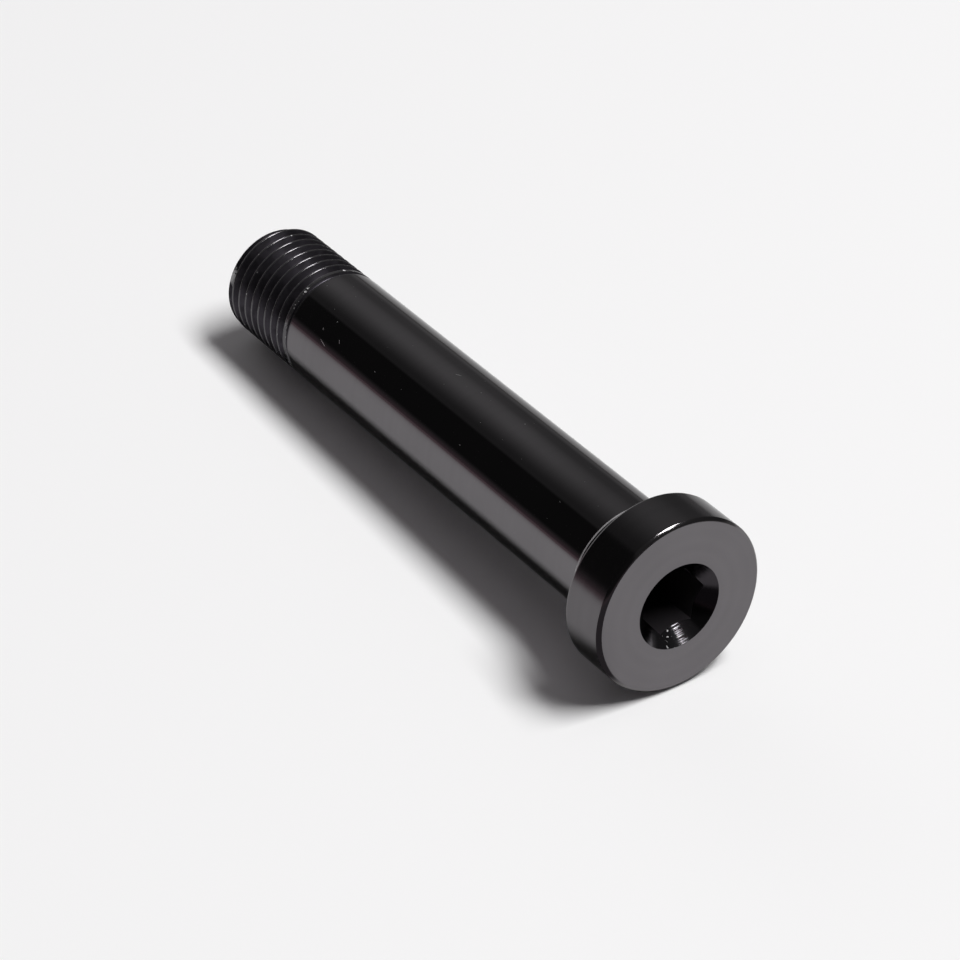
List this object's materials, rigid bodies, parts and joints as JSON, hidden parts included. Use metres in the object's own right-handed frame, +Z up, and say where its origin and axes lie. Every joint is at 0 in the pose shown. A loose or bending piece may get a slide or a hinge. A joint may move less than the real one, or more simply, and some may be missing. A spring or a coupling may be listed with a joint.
{
  "type": "pivot bolt",
  "caption": "Pivot bolt with a round socket head, a short collar, a plain bearing shank and a fine right-hand thread at its far end.",
  "frame": {"origin": "on the bolt's axis, in the plane of the seat under the head", "axes": "+Z up from the surface the bolt lies on; +X from the head towards the threaded end, along the ground; +Y completes the right-hand set. The bolt lies as it comes to rest, so its own axis dips 2.66 degrees below +X"},
  "size_m": [0.0712, 0.018, 0.0182],
  "materials": {
    "black_anodised": "glossy black anodised, turned smooth"
  },
  "bodies": {
    "root": {"pivot_bolt": "black_anodised"}
  },
  "joints": []
}
